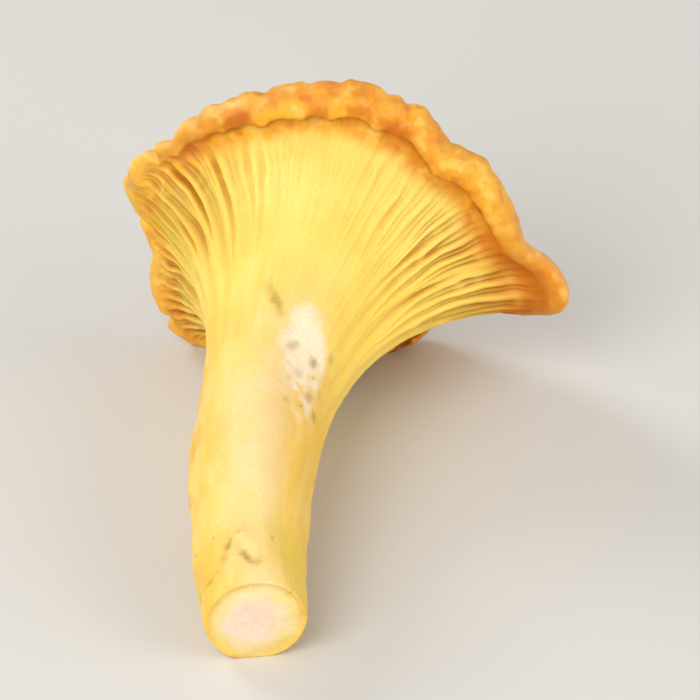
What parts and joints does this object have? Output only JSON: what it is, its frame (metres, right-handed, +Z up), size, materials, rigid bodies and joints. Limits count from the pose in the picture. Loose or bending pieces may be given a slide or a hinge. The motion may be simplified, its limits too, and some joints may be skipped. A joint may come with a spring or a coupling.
{
  "type": "chanterelle mushroom",
  "caption": "Trumpet-shaped mushroom lying on its side: forking gill ridges run from a wavy, rolled cap margin down a thick solid stem.",
  "frame": {"origin": "on the surface the mushroom lies on, below the middle of its length and width", "axes": "+Y from the cut end of the stem towards the cap, +X to the right as seen from the stem's end, +Z up"},
  "size_m": [0.0487, 0.0644, 0.0387],
  "materials": {
    "flesh": "satin"
  },
  "bodies": {
    "root": {"chanterelle": "flesh"}
  },
  "joints": []
}
